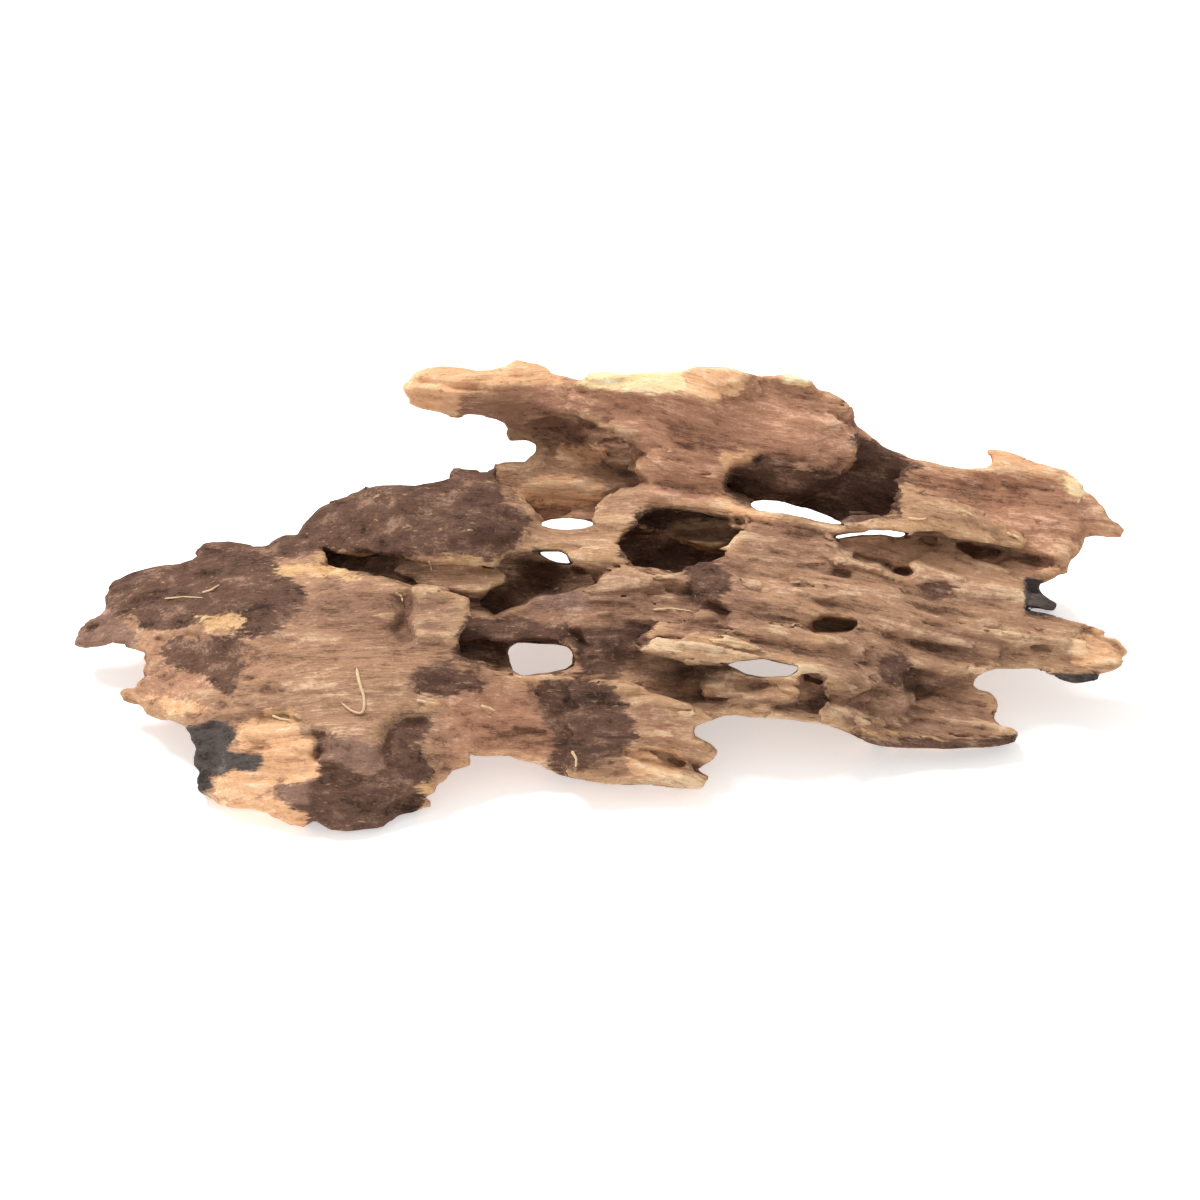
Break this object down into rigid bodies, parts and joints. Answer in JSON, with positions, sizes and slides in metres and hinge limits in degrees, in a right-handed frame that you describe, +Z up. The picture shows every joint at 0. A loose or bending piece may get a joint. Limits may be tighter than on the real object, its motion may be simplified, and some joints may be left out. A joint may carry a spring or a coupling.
{
  "type": "piece of driftwood",
  "caption": "Weathered, hollowed piece of driftwood: ragged plank ends, a raised log with a pointed arm, a torn wing and eaten-through holes.",
  "frame": {"origin": "middle of the bounding box in X and Y, at the height of the surface that it rests on", "axes": "+X along the grain and the longest extent, toward the plank and wing end; +Z up, the shortest extent; -Y is the low front side with the rounded lobe and the flap"},
  "size_m": [0.3232, 0.1476, 0.0828],
  "materials": {
    "wood": "dry, matte, open grain"
  },
  "bodies": {
    "root": {"driftwood": "wood"}
  },
  "joints": []
}
